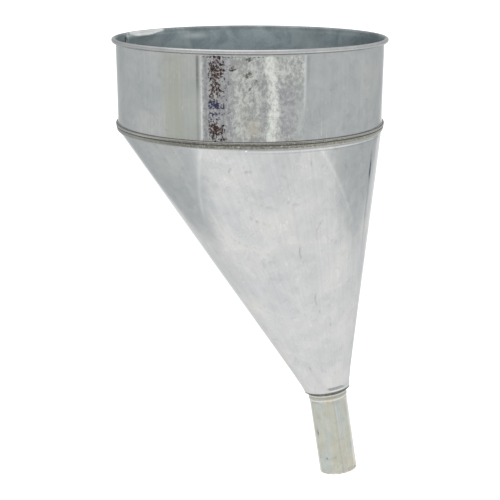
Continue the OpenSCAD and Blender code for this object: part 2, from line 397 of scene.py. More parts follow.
def inside_marks(theta, z):
    """Painted highlight and painted shade masks of the collar's inner face, and the mask of the knocked flat.
    """
    lens, edge = lens_shape(theta)
    on_lens = lens * (1 - smooth(-z, edge - 0.35, edge + 0.1))
    seam_turn = turn_from(theta, COLLAR_SEAM)
    # Painted highlights: a pale line beside the side seam, pale reflection patches on the wall and the
    # knocked flat catching light.
    bright = bump(seam_turn, 0.3, 1.7) + spots(theta, z, PALE_INSIDE)
    bright += (0.35 + 0.3 * (1 - smooth(theta, LENS[0] + 3.0, LENS[0] + 12.0))) * on_lens
    # Painted shade: a darker band under the rim, a dark line along the rim's top, a darker patch on the right
    # of the wall and a dark line in the side seam's gap.
    grime = (0.40 * (1 - smooth(-z, 1.5, 4.5)) + 0.35 * smooth(z, 0.6, 1.5)) * (1 - lens)
    grime += 0.48 * spot(theta, z, 52.0, -12.0, 48.0, 15.0)
    grime += 1.2 * bump(seam_turn, 3.3, 1.3) * smooth(-z, 1.0, 2.0)
    return bright, grime, on_lens


def outside_marks(theta, z, wall):
    """Masks of the collar's outer face: painted highlights and painted shade along the sticker's edges,
    painted shade under the bead and in the crease above the body seam, and a small dark spot.
    """
    left, right = LABEL
    # Painted highlights: thin light lines down the sticker's edges.
    bright = (0.40 + 0.25 * smooth(-z, 22.0, 40.0)) * bump(theta, left + 0.1, 0.55)
    bright += 0.40 * (1 - smooth(-z, 34.0, 48.0)) * bump(theta, right, 0.8)
    upper = 0.35 + 0.65 * (1 - smooth(-z, 18.0, 34.0))
    # Painted shade: dark lines beside the sticker's edges, in the crease above the body seam and under the
    # rolled rim, and one small dark spot.
    grime = 0.75 * upper * bump(theta, left - 1.5, 1.0) + 0.35 * bump(theta, left + 1.7, 1.3)
    grime += 0.25 * (1 - smooth(-z, 14.0, 30.0)) * bump(theta, right + 1.4, 1.2)
    grime = grime * wall + 0.8 * bump(z, seam_top + 0.75, 0.32) + bump(z, -bead_r - 0.1, 0.65)
    grime += 0.38 * between(z, -bead_r, -0.55, 0.3) + spot(theta, z, 10.7, -53.3, 0.9, 0.9)
    return bright * wall, grime


def collar_marks(theta, z, inner_face):
    """Masks that the material reads, for the sticker patch, stains, grime, painted shade and painted
    highlights.
    """
    outside = 1.0 - inner_face
    wall = smooth(-z, 2.4, 3.6) * (1 - smooth(-z, collar_h - 6.0, collar_h - 5.4))
    patch = between(theta, LABEL[0], LABEL[1], 0.25) * wall * outside
    yellow = smooth(theta, STAIN[0] - 5.0, STAIN[0] + 3.0)
    yellow = yellow * (1 - smooth(theta, STAIN[1] - 1.0, STAIN[1] + 0.6))
    lilac = 0.9 * between(theta, LABEL[0] + 0.8, -66.5, 1.5)
    lilac += 0.8 * between(theta, -49.5, -42.0, 2.0) * between(z, -62.0, -22.0, 6.0)
    lilac += 0.7 * bump(theta, strip_middle(z) - 4.2, 2.2) * smooth(-z, 4.0, 10.0)
    highlight_in, painted_shade_in, on_lens = inside_marks(theta, z)
    highlight_out, shade_and_grime_out = outside_marks(theta, z, wall)
    masks = {
        "frost": patch * (1 - 0.62 * smooth(theta, -48.0, LABEL[1]) * smooth(-z, 10.0, 40.0)),
        "fleck": fleck_density(theta, z) * outside * smooth(-z, 2.2, 3.0),
        "hue": fleck_hue(theta, z) * outside,
        "lilac": lilac * patch,
        "tan": spots(theta, z, TAN_SPOTS) * patch,
        "yellow": yellow * wall * outside,
        "shine": bump(theta, strip_middle(z), 4.4) * patch,
        "bright": highlight_out * outside + highlight_in * inner_face,
        "grime": shade_and_grime_out * outside + painted_shade_in * inner_face,
        "inner": inner_face - on_lens * inner_face,
    }
    return {k: np.clip(v, 0, 1) for k, v in masks.items()}


def make_collar():
    path = collar_path()
    edges = [COLLAR_SEAM - LAP_HALF, COLLAR_SEAM + LAP_HALF]
    edges += [LABEL[0] - 1.2, LABEL[0] - 0.6, LABEL[0] + 0.3, LABEL[1]]
    edges += [LENS[0], LENS[1]]
    theta = ring_angles(RING, 100.0, edges)
    grid = revolve(path, theta)
    t, z = np.meshgrid(theta, path[:, 1])
    along = path_length(path)
    turned = turn_from(t, 0.0)
    on_wall = (along > along[44])[:, None] & (along < along[121])[:, None]
    rim = 1 - smooth(along, along[44], along[48])[:, None]
    push = np.where(on_wall, wall_push(turned, z), 0.0) + rim * bead_wobble(turned)
    from_seam = turn_from(t, COLLAR_SEAM)
    push_radially(grid, t, push - 0.25 * rim * bump(from_seam, 0.0, 1.2))
    solid = shell(grid, SHEET)
    m = len(path)
    overlap = (np.abs(from_seam) < LAP_HALF) * smooth(-z, 0.6, 1.6) * (z > hook_bot + 2.0) * on_wall
    push_radially(solid[:m], t, -SHEET * overlap)
    inner = np.zeros(solid.shape[:2])
    inner[:m] = (along >= along[36])[:, None]
    marks = collar_marks(np.concatenate([turned, turned[::-1]]), np.concatenate([z, z[::-1]]), inner)
    piece = sheet_piece("collar_shell", solid, theta, wall_r, along, marks)
    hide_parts("collar")


# ---- Cone: ruled between the body seam and the tilted neck ring, with its folded hem
LAP_EVEN = 3.0               # degrees either side of the seam that stand for the overlap
SLOPE_L = 225.0              # length of the cone's slope


def hem_path():
    """Radius and height along the outer face of the cone's hem, with the sheet on its left."""
    low = seam_bot - 0.05
    path = [(wall_r + 0.08, low)]
    path += line(path[-1], (wall_r + 0.62, low - 0.02), 2)
    path += arc(wall_r + 0.62, low + 0.43, 0.45, -90, 0, 5)
    path += line(path[-1], (wall_r + 1.62, seam_bot + 3.05), 7)
    path += arc(wall_r + 1.47, seam_bot + 3.1, 0.15, 0, 90, 3)
    path += line(path[-1], (wall_r + 1.40, seam_bot + 3.42), 2)
    centre = wall_r + 0.05 + RIDGE_R
    for a in np.radians(np.linspace(-62, 180, 26)):
        path.append((centre + RIDGE_R * math.cos(a), RIDGE_Z + RIDGE_H * math.sin(a)))
    path += line(path[-1], (wall_r + 0.04, seam_bot + 3.2), 6)
    return np.array(path)


def slope_point(theta, place):
    """Outer face of the cone between its top, 0, and its lower edge, 1."""
    a = np.radians(theta)
    top = np.stack([(wall_r + 0.08) * np.cos(a), (wall_r + 0.08) * np.sin(a), np.full_like(a, seam_bot)], -1)
    side = neck_r * np.cos(a)[..., None] * spout_side
    low = neck_c + side + neck_r * np.sin(a)[..., None] * Y_AXIS
    p = np.asarray(place)[..., None]
    return top * (1 - p) + low * p


def slope_normal(theta, place):
    """Unit normals of the ruled surface, pointing outwards."""
    d = 0.05
    around = slope_point(theta + d, place) - slope_point(theta - d, place)
    along = slope_point(theta, place - 0.001) - slope_point(theta, place + 0.001)
    n = np.cross(around, along)
    return n / np.linalg.norm(n, axis=-1, keepdims=True)


def slope_push(theta, place):
    """How far the cone's sheet stands out from the true ruled surface, in millimetres."""
    free = smooth(place, 0.01, 0.10) * (1 - smooth(place, 0.94, 1.0))
    push = waves(31, theta, place * 100, 9, 2, 7, 140.0, 0.22) * free
    push += waves(32, theta, place * 100, 12, 12, 30, 50.0, 0.03) * free
    push += 0.22 * bump(place * SLOPE_L, 1.2, 1.3) * front_half(theta)
    to_neck = (1 - place) * SLOPE_L
    push += 0.25 * bump(to_neck, 9.0, 9.0) + 0.60 * (1 - smooth(to_neck, 1.2, 7.0))
    push += 0.40 * (1 - smooth(to_neck, 0.2, 1.4))
    push -= 0.60 * wrinkle_span(theta) * bump(to_neck, 4.7, 1.8)
    return push


def wrinkle_span(theta):
    """1 along the short dent above the cone's lower edge."""
    return between(turn_from(theta, -34.0), -20.0, 20.0, 4.0)


def front_half(theta):
    """1 round the stretch of the body seam whose flange shows a crease below it."""
    return bump(turn_from(theta, -25.0), 0.0, 62.0)


def wedge_edge(place, side):
    """Angle of the faint crease that runs down the cone's left, -1, or right, 1, from its top."""
    if side < 0:
        return -82.5 - 26.2 * place / 0.355
    return -25.2 + 18.1 * (place - 0.054) / 0.274


CONE_MARKS = (
    # mask, angle, place, half width in mm, half height in mm, strength
    ("dull", -98.0, 0.47, 9.0, 9.0, 0.75),
    ("dull", -90.0, 0.51, 5.0, 4.0, 0.45),
    ("dull", -78.0, 0.885, 5.0, 10.0, 0.75),
    ("dull", -72.0, 0.94, 4.0, 8.0, 0.55),
    ("dull", -118.0, 0.40, 5.0, 12.0, 0.7),
    ("dull", -84.0, 0.05, 3.5, 9.0, 0.5),
    ("dull", -14.0, 0.10, 9.0, 12.0, 0.45),
    ("dull", -5.0, 0.30, 7.0, 16.0, 0.40),
    ("grime", -76.5, 0.885, 1.2, 2.2, 0.45),
    ("grime", 10.6, 0.479, 0.9, 2.6, 0.9),
    ("ink", 3.7, 0.125, 1.9, 13.0, 1.6),
    ("ink", 3.2, 0.075, 1.2, 7.0, 1.0),
    ("ink", 4.6, 0.235, 0.5, 9.0, 0.4),
    # painted highlight: a small bright spot near the top of the cone
    ("bright", -61.9, 0.004, 1.0, 0.9, 1.0),
)

# Nicks and drag marks: angle, place, length in mm, lean from the slope in degrees, bend, depth of tone
CONE_NICKS = (
    (-72.0, 0.079, 6.0, -35.0, 0.8, 0.75),
    (-64.0, 0.079, 6.0, -88.0, 0.6, 0.60),
    (-58.0, 0.078, 5.0, 85.0, 0.4, 0.45),
    (-68.6, 0.27, 14.0, 66.0, 1.0, 0.50),
    (-61.0, 0.215, 12.0, 72.0, 1.2, 0.30),
    (-48.0, 0.204, 16.0, 70.0, 1.5, 0.35),
    (-50.0, 0.395, 13.0, -6.0, 1.6, 0.60),
    (-46.0, 0.590, 13.0, -4.0, 1.8, 0.60),
    (-44.0, 0.640, 4.0, -20.0, 0.5, 0.50),
    (-36.0, 0.300, 14.0, -32.0, 1.5, 0.35),
    (-28.0, 0.360, 18.0, 55.0, 2.2, 0.25),
    (-85.0, 0.360, 16.0, 60.0, 1.6, 0.35),
    (-36.0, 0.060, 6.0, 10.0, 0.5, 0.40),
    (-30.0, 0.075, 9.0, 60.0, 1.2, 0.35),
    (-17.0, 0.090, 9.0, 50.0, 1.4, 0.55),
    (-35.0, 0.700, 3.0, 20.0, 0.3, 0.55),
)


def nick(theta, place, radius, mark):
    """Thin, slightly bent line on the cone's slope."""
    angle, at, length, lean, bend, tone = mark
    dx = np.radians(turn_from(theta, angle)) * radius
    dy = (place - at) * SLOPE_L
    a = math.radians(lean)
    along = dx * math.sin(a) + dy * math.cos(a)
    across = dx * math.cos(a) - dy * math.sin(a) - bend * (2 * along / length) ** 2
    ends = 1 - smooth(np.abs(along), 0.3 * length, 0.5 * length)
    return tone * ends * bump(across, 0.0, 0.95)


def cone_marks(theta, place, radius):
    """Masks for the scuffs, grime and old solder on the cone's outer face."""
    masks = {k: np.zeros(theta.shape) for k in ("dull", "grime", "bright", "ink")}
    for name, angle, at, half_w, half_h, strength in CONE_MARKS:
        dx = np.radians(turn_from(theta, angle)) * radius / half_w
        dy = (place - at) * SLOPE_L / half_h
        masks[name] += strength * bump(np.hypot(dx, dy), 0.0, 1.0)
    ring = np.hypot(np.radians(turn_from(theta, 8.6)) * radius, (place - 0.771) * SLOPE_L)
    masks["dull"] += 0.8 * bump(ring, 3.2, 1.2)
    for mark in CONE_NICKS:
        masks["grime"] += 0.62 * nick(theta, place, radius, mark)
    trail = turn_from(theta, -81.0) - (place - 0.86) * 150.0
    masks["dull"] += 0.75 * bump(trail, 0.0, 13.0) * between(place, 0.86, 0.985, 0.02)
    # Painted shade down each faint crease of the cone, with a painted highlight beside it.
    for side, width in ((-1, 1.6), (1, 1.2)):
        fold = turn_from(theta, wedge_edge(place, side))
        masks["dull"] += 0.42 * bump(fold, 0.0, width) * (1 - smooth(place, 0.26, 0.38))
        masks["bright"] += 0.16 * bump(fold + side * 2.6, 0.0, 1.6) * (1 - smooth(place, 0.22, 0.34))
    # Painted shade in the crease under the flange, at the cone's lower edge and under the short dent; painted
    # highlight on the dent.
    masks["grime"] += 0.35 * bump(place * SLOPE_L, 3.1, 0.8) * front_half(theta)
    to_neck = (1 - place) * SLOPE_L
    masks["grime"] += 1.2 * (1 - smooth(to_neck, 0.7, 1.3))
    masks["grime"] += 0.65 * wrinkle_span(theta + 4.0) * bump(to_neck, 4.8, 0.9)
    masks["bright"] += 0.30 * wrinkle_span(theta) * bump(to_neck, 2.3, 1.2)
    return masks


def lap_width(place):
    """The cone's radius down its slope, and half its overlap there in degrees."""
    radius = wall_r * (1 - place) + neck_r * place
    return radius, np.degrees(LAP_W / 2 / radius)


def seam_following(even, half):
    """Angles from the cone's side seam, stretched so that the overlap keeps its width down the slope."""
    inside = even * half / LAP_EVEN
    beyond = np.sign(even) * (half + (np.abs(even) - LAP_EVEN) * (180 - half) / (180 - LAP_EVEN))
    return np.where(np.abs(even) <= LAP_EVEN, inside, beyond)


def lap_lift(turn, half, radius):
    """How far the outer layer of the overlap lifts the cone's outer face."""
    past = np.clip(turn - half, 0, None) * np.radians(radius)
    before = (turn + half) * np.radians(radius)
    return 0.30 * smooth(before, -1.0, 2.2) * np.exp(-(past / 8.0) ** 1.3) * (turn < 90)


def hem_marks(theta, z):
    """Painted shade in the hem's grooves, old solder and paler stretches of the folded hem, which show as the
    body seam's band.
    """
    # Painted shade: dark lines below and above the rolled ridge and along the hem's lower edge.
    groove_shade = bump(z, seam_bot + 3.35, 0.45) + bump(z, RIDGE_Z + 1.0, 0.35) + 0.35 * bump(z, seam_bot, 0.3)
    left = np.clip(bump(theta, -135.0, 55.0) * 1.6, 0, 1)
    right = bump(theta, 12.0, 60.0)
    reach = RIDGE_Z + 0.45 - 1.5 * left - 0.7 * right
    band = smooth(z, seam_bot + 0.15, seam_bot + 0.7) * (1 - smooth(z, reach - 0.25, reach + 0.25))
    return groove_shade, np.maximum(band, 0.30), np.clip(left + 0.6 * right, 0, 1)


def make_cone():
    hem = hem_path()
    steps = np.arange(14) * 0.0022
    place = np.unique(np.concatenate([np.linspace(0, 1, 112), steps, 1 - steps * 1.3]))[::-1]
    even = ring_angles(RING, -180.0, [-LAP_EVEN, LAP_EVEN])
    u, p = np.meshgrid(even, place)
    radius, half = lap_width(p)
    turn = seam_following(u, half)
    t = turn + CONE_SEAM
    turned = turn_from(t, 0.0)
    open_lap = smooth(p, 0.004, 0.016)
    push = slope_push(turned, p) + lap_lift(turn, half, radius) * open_lap
    slope = slope_point(t, p) + slope_normal(t, p) * push[..., None]
    fold = revolve(hem, t[-1])
    fold_z = fold[..., 2]
    ripple = waves(41, turned[-1], fold_z * 0, 14, 9, 60, 30.0, 0.05)
    push_radially(fold, t[-1], ripple * smooth(fold_z, seam_bot, seam_bot + 1))
    face = np.concatenate([slope[:-1], fold])
    on_hem = np.ones(fold.shape[:2])
    layers = 1.0 + (np.abs(turn) < half) * open_lap
    solid = shell(face, np.concatenate([layers[:-1], on_hem]) * SHEET)
    around = np.concatenate([turned[:-1], on_hem * turned[-1]])
    marks = cone_marks(turned[:-1], p[:-1], radius[:-1])
    marks = {k: np.concatenate([v, on_hem * 0]) for k, v in marks.items()}
    hem_row = np.concatenate([p[:-1] * 0, on_hem])
    groove_shade, band, marks["pale"] = hem_marks(around, face[..., 2])
    marks["grime"] = np.clip(marks["grime"] + hem_row * groove_shade, 0, 1)
    marks["solder"] = hem_row * band
    marks = {k: np.concatenate([v, v * 0]) for k, v in marks.items()}
    piece = sheet_piece("cone_shell", solid, even, 75.0, path_length(face[:, 0]), marks)
    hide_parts("cone")


# ---- Spout: swaged top, straight tube and a side seam that stands a little proud
TUBE_DEGREE = 0.272          # millimetres to the degree round the tube
SPOUT_SPOTS = (
    # mask, angle, depth, width and height factors, half size in mm, strength
    ("grime", -114.8, 35.4, 1.0, 3.2, 1.3, 0.9),
    ("grime", -92.7, 57.2, 1.0, 1.0, 1.2, 1.0),
    ("fleck", 4.8, 69.8, 1.0, 1.0, 4.0, 0.8),
    ("dull", -118.0, 34.0, 2.2, 5.0, 1.2, 0.9),
    ("dull", -92.7, 57.2, 2.2, 2.6, 1.2, 0.5),
)


def spout_path():
    """Radius and height above the tip along the spout's outer face, with the sheet on its left."""
    path = [(tube_r - 0.12, 0.0), (tube_r, 0.35)]
    path += line(path[-1], (tube_r, tube_l), 50)
    swage = [(0, SWAGE_L), (0.28, 7.2), (0.58, 6.1), (0.60, 5.3), (0.44, 4.2), (0.52, 3.4), (1.05, 2.5),
             (1.52, 1.6), (1.58, 1.0), (1.50, 0), (2.2, -5.5)]
    knots = np.array([(tube_r + proud, spout_l - down) for proud, down in swage])
    s = path_length(knots)
    even = np.linspace(0, s[-1], 54)[1:]
    r = np.interp(even, s, knots[:, 0])
    h = np.interp(even, s, knots[:, 1])
    for _ in range(2):
        r = soften(r)
    path += list(zip(r, h))
    return np.array(path)


def spout_point(phi, r, h):
    """A point by angle round the spout's axis, radius and height above the tip."""
    a = np.radians(phi)[..., None]
    tip = neck_c + spout_down * spout_l
    flat = np.cos(a) * spout_side + np.sin(a) * Y_AXIS
    return tip + np.asarray(r)[..., None] * flat - np.asarray(h)[..., None] * spout_down


def spout_marks(phi, depth, lap_mask):
    """Masks of the spout's outer face, by angle and depth below its upper end."""
    lap_lines = sum(bump(phi, edge, 2.6) for edge in SPOUT_LAP) * smooth(depth, 7.0, 10.0)
    masks = {
        # Painted shadow under the cone's lower edge, painted shade in the swage's grooves and along the lap's
        # edges, and a slightly darker swaged stretch.
        "grime": 0.40 * bump(depth, 3.6, 1.1) + 0.30 * bump(depth, 8.2, 1.3) + 0.16 * lap_lines
                 + 1.0 * (depth < 2.1) * (depth > -1.5) + 0.15 * between(depth, 1.0, 8.6, 0.4),
        "rust": 1.2 * bump(spout_l - depth, 0.0, 0.9),
        "tin": np.ones_like(depth),
        "fleck": np.zeros_like(depth),
        # Painted highlight beside the lap.
        "bright": 0.10 * bump(phi, SPOUT_LAP[0] + 3.6, 2.0) * lap_mask,
        "dull": np.zeros_like(depth),
    }
    for name, angle, at, wide, tall, size, strength in SPOUT_SPOTS:
        across = turn_from(phi, angle) * TUBE_DEGREE / wide
        masks[name] += strength * bump(np.hypot(across, (depth - at) / tall), 0, size)
    return {k: np.clip(v, 0, 1) for k, v in masks.items()}


def make_spout():
    path = spout_path()
    lo, hi = SPOUT_LAP
    phi = ring_angles(260, 90.0, SPOUT_LAP)
    f, h = np.meshgrid(phi, path[:, 1])
    r = np.repeat(path[:, :1], len(phi), 1)
    turned = turn_from(f, 0.0)
    straight = 1 - smooth(h, tube_l - 3, tube_l)
    fade = 0.25 + 0.75 * smooth(h, 14.0, 34.0)
    band = smooth(turned, lo - 1.8, lo + 1.8) * (1 - smooth(turned, hi - 1.6, hi + 1.6))
    swell = 0.30 * band * fade * (0.45 + 0.55 * straight)
    push = waves(51, turned, h, 8, 2, 6, 90.0, 0.08) * straight + swell
    solid = shell(spout_point(f, r + push, h), SHEET)
    marks = spout_marks(turned, spout_l - h, fade * straight)
    marks = {k: np.concatenate([v, v[::-1] * (k in ("tin", "rust"))]) for k, v in marks.items()}
    piece = sheet_piece("spout_shell", solid, phi, tube_r, path_length(path), marks)
    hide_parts("spout")


# ---- Solder: lumpy runs and blobs
def lumps(seed, along, size, low=0.6, high=1.4):
    """Uneven thickness along a run of solder, from seeded points size millimetres apart."""
    rng = np.random.default_rng(seed)
    knots = np.arange(along.min() - size, along.max() + 2 * size, size)
    return np.interp(along, knots, soften(rng.uniform(low, high, len(knots))))


def solder_ring(name, section, r0, z0, swell, theta):
    """Closed ring of solder; a row of its section is (outwards, up, swell outwards, swell up) from r0, z0."""
    a = np.radians(theta)
    out, up, swell_out, swell_up = np.array(section, float).T[..., None]
    r = r0 + out + swell_out * swell
    return grid_object(name, np.stack([r * np.cos(a), r * np.sin(a), z0 + up + swell_up * swell], -1),
                       "solder", sharp=80)


def join_pieces(main, *others):
    """One object from several, made at the mesh level."""
    bm = bmesh.new()
    for obj in (main, *others):
        bm.from_mesh(obj.data)
    bm.to_mesh(main.data)
    bm.free()
    for obj in others:
        bpy.data.objects.remove(obj)
    main.data.polygons.foreach_set("use_smooth", [True] * len(main.data.polygons))
    return main


def make_body_seam_solder():
    theta = ring_angles(480, 0.0)
    arc_mm = theta * math.radians(1) * wall_r
    outer = [(0.03, -0.95, 0, 0), (0.02, 0.05, 0, 0.14), (0.25, -0.10, 0.02, 0.05),
             (0.52, -0.12, 0.05, 0.03), (0.66, -0.14, 0.08, 0.0), (0.42, -0.40, 0, 0)]
    inner = [(0.35, 1.1, 0, 0), (-0.02, 1.6, 0, 0.35), (-0.38, 0.75, -0.15, 0.08),
             (-0.75, 0.05, -0.18, 0.0), (-0.95, -0.75, -0.05, -0.2), (-0.15, 0.35, 0, 0)]
    swell_out = lumps(61, arc_mm, 4.0, -1.0, 1.0)
    swell_in = lumps(62, arc_mm, 3.0, -0.6, 1.4)
    outside = solder_ring("body_seam_solder_run", outer, wall_r, RIDGE_Z + RIDGE_H, swell_out, theta)
    inside = solder_ring("inside_run", inner, wall_in, seam_bot, swell_in, theta)
    piece = join_pieces(outside, inside)
    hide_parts("body_seam_solder")


def solder_run(name, base, side, out, along, seed, spacing, width, height, ends=3.0, tin=0.0):
    """Lumpy lens of solder along base points, lying to one side, standing out and thin at its ends."""
    taper = smooth(np.minimum(along - along.min(), along.max() - along), 0.0, ends) + 0.05
    width = width * lumps(seed, along, spacing) * taper
    height = height * lumps(seed + 1, along, spacing + 1.0, 0.8, 1.1) * taper
    profile = [(0.0, -0.06), (1.0, -0.06), (0.82, 0.30), (0.55, 0.62), (0.28, 0.86), (0.0, 1.0)]
    rows = [base + side * (a * width)[:, None] + out * (b * height)[:, None] for a, b in profile]
    rows = np.array(rows)
    marks = {"tin": np.full(rows.shape[:2], tin)}
    return grid_object(name, rows, "solder", closed_ring=False, sharp=80, marks=marks)


def unit(vectors):
    return vectors / np.linalg.norm(vectors, axis=1, keepdims=True)


def make_collar_seam_solder():
    z = np.linspace(-3.4, hook_bot + 2.3, 90)
    theta = np.full_like(z, COLLAR_SEAM + LAP_HALF + 0.02)
    r = wall_in + wall_push(turn_from(theta, 0.0), z) - 0.02
    a = math.radians(theta[0])
    base = np.stack([r * math.cos(a), r * math.sin(a), z], -1)
    side = np.array([-math.sin(a), math.cos(a), 0.0])
    out = np.array([-math.cos(a), -math.sin(a), 0.0])
    piece = solder_run("collar_seam_run", base, side, out, -z, 63, 3.5, 1.1, 0.42)
    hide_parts("collar_seam_solder")


def make_cone_seam_solder():
    place = np.linspace(0.02, 0.72, 150)
    radius, half = lap_width(place)
    theta = CONE_SEAM + half + 0.02
    n = slope_normal(theta, place)
    push = slope_push(theta, place) + lap_lift(half + 0.02, half, radius) - SHEET - 0.02
    base = slope_point(theta, place) + n * push[:, None]
    side = unit(slope_point(theta + 0.5, place) - slope_point(theta, place))
    piece = solder_run("cone_seam_run", base, side, -n, place * SLOPE_L, 65, 3.5, 1.2, 0.42, ends=4.0)
    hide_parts("cone_seam_solder")


def make_spout_seam_solder():
    h = np.linspace(2.0, tube_l - 1.0, 110)
    phi = np.full_like(h, SPOUT_LAP[1] + 0.2)
    base = spout_point(phi, np.full_like(h, tube_r - 0.02), h)
    out = unit(spout_point(phi, np.full_like(h, tube_r + 1.0), h) - base)
    side = unit(spout_point(phi + 1.0, np.full_like(h, tube_r), h) - base)
    height = 0.16 * (0.3 + 0.7 * smooth(h, 14.0, 34.0))
    piece = solder_run("spout_seam_run", base, side, out, h, 67, 3.0, 0.75, height, tin=1.0)
    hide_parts("spout_seam_solder")


# ---- Strainer: crimped ring, woven screen and four tacks of solder
RING_W = 4.0                 # width, height and sheet of the crimped ring
RING_H = 2.4
RING_T = 0.4
WIRE = 0.13                  # radius of the screen's wires
PITCH = 1.06                 # 24 wires to the inch
SIDES = 5                    # facets round a wire
screen_lo, screen_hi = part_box("strainer_screen")
ring_lo, ring_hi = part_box("strainer_ring")
ring_r = (ring_hi.y - ring_lo.y) / 2 * MM
ring_mid = np.array((ring_lo + ring_hi) / 2) * MM - origin
screen_half = (screen_hi.z - screen_lo.z) / 2 * MM
ring_lean = math.asin(min(1.0, (screen_half - 0.25) / (ring_r - RING_T - 0.3)))
ring_side = np.array([math.cos(ring_lean), 0.0, math.sin(ring_lean)])
ring_up = np.array([-math.sin(ring_lean), 0.0, math.cos(ring_lean)])


def on_ring(x, y, z):
    """A point from the strainer's own plane, in the rim frame."""
    x, y, z = np.broadcast_arrays(x, y, z)
    return ring_mid + x[..., None] * ring_side + y[..., None] * Y_AXIS + z[..., None] * ring_up


def make_strainer_ring():
    half = RING_H / 2
    bend = 0.5
    lip = ring_r - RING_W
    path = [(lip, -half + 0.45), (lip + 0.5, -half + 0.05), (lip + 0.9, -half)]
    path += line(path[-1], (ring_r - bend, -half), 6)
    path += arc(ring_r - bend, -half + bend, bend, -90, 0, 6)
    path += line(path[-1], (ring_r, half - bend), 4)
    path += arc(ring_r - bend, half - bend, bend, 0, 90, 6)
    path += line(path[-1], (lip + 0.9, half), 6)
    path += [(lip + 0.5, half - 0.05), (lip, half - 0.45)]
    path = np.array(path)
    theta = ring_angles(360, 0.0)
    a = np.radians(theta)
    inward = smooth(ring_r - path[:, 0], 0.8, RING_W)[:, None]
    crimp = np.abs(np.cos(a * 22)) ** 6
    r = path[:, :1] - 0.25 * inward * crimp
    z = path[:, 1:] * (1 - 0.16 * inward * crimp)
    solid = shell(on_ring(r * np.cos(a), r * np.sin(a), z), RING_T)
    piece = sheet_piece("strainer_ring_crimped", solid, theta, ring_r, path_length(path))
    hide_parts("strainer_ring")


def woven_wire(offset, flip, reach):
    """Rings of points round one wire of the screen, which runs over and under its crossings."""
    half = math.sqrt(max(reach * reach - offset * offset, 0.0))
    x = np.arange(-half, half + PITCH / 8, PITCH / 4)
    z = WIRE * 1.02 * np.cos(math.pi * (x / PITCH - 0.5 + flip))
    tilt = np.arctan(np.gradient(z, x))[:, None]
    spin = np.radians(np.arange(SIDES) * 360 / SIDES)
    ring_x = x[:, None] - np.sin(tilt) * np.sin(spin) * WIRE
    ring_z = z[:, None] + np.cos(tilt) * np.sin(spin) * WIRE
    return ring_x, offset + np.cos(spin) * WIRE + 0 * ring_x, ring_z


def wire_faces(start, rings, flip):
    """Faces of a wire's sides and two ends, whose first point is numbered start."""
    faces = []
    for a in range(start, start + (rings - 1) * SIDES, SIDES):
        for j in range(SIDES):
            k = (j + 1) % SIDES
            faces.append([a + j, a + k, a + SIDES + k, a + SIDES + j])
    last = start + (rings - 1) * SIDES
    faces += [list(range(start, start + SIDES))[::-1], list(range(last, last + SIDES))]
    return [face[::-1] for face in faces] if flip else faces


def make_screen():
    reach = ring_r - RING_T - 0.5
    count = int(reach / PITCH)
    verts, faces = [], []
    for way in (0, 1):
        for i in range(-count, count + 1):
            offset = (i + 0.5) * PITCH
            if abs(offset) > reach - 1.5:
                continue
            x, y, z = woven_wire(offset, (i + way) % 2, reach)
            points = on_ring(x, y, z) if way == 0 else on_ring(y, x, z)
            faces += wire_faces(len(verts), len(x), way == 1)
            verts += points.reshape(-1, 3).tolist()
    mesh = bpy.data.meshes.new("strainer_mesh")
    mesh.from_pydata(to_frame(verts).tolist(), [], faces)
    finish_mesh(mesh, 60)
    piece = add_piece("strainer_mesh", mesh, "brass_mesh")
    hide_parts("strainer_screen")


def make_tacks():
    """Four blobs of solder between the strainer ring and the cone."""
    rng = np.random.default_rng(71)
    bm = bmesh.new()
    for i in range(4):
        a = math.radians((i + 0.5) * 90)
        out = math.cos(a) * ring_side + math.sin(a) * Y_AXIS
        across = math.cos(a) * Y_AXIS - math.sin(a) * ring_side
        centre = ring_mid + (ring_r - 0.15) * out + (RING_H / 2 - 0.1) * ring_up
        blob = bmesh.ops.create_icosphere(bm, subdivisions=3, radius=1.0)["verts"]
        phase = rng.uniform(0, 6.28, 3)
        for v in blob:
            x, y, z = v.co
            lump = 1.15 * (1 + 0.10 * math.sin(3 * x + phase[0]) + 0.08 * math.sin(4 * y + phase[1]))
            v.co = Vector(to_frame(centre + lump * (x * out + 1.9 * y * across + 0.85 * z * ring_up)))
    mesh = bpy.data.meshes.new("strainer_tack_blobs")
    bm.to_mesh(mesh)
    bm.free()
    finish_mesh(mesh, 80)
    piece = add_piece("strainer_tack_blobs", mesh, "solder")
    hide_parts("strainer_tacks")


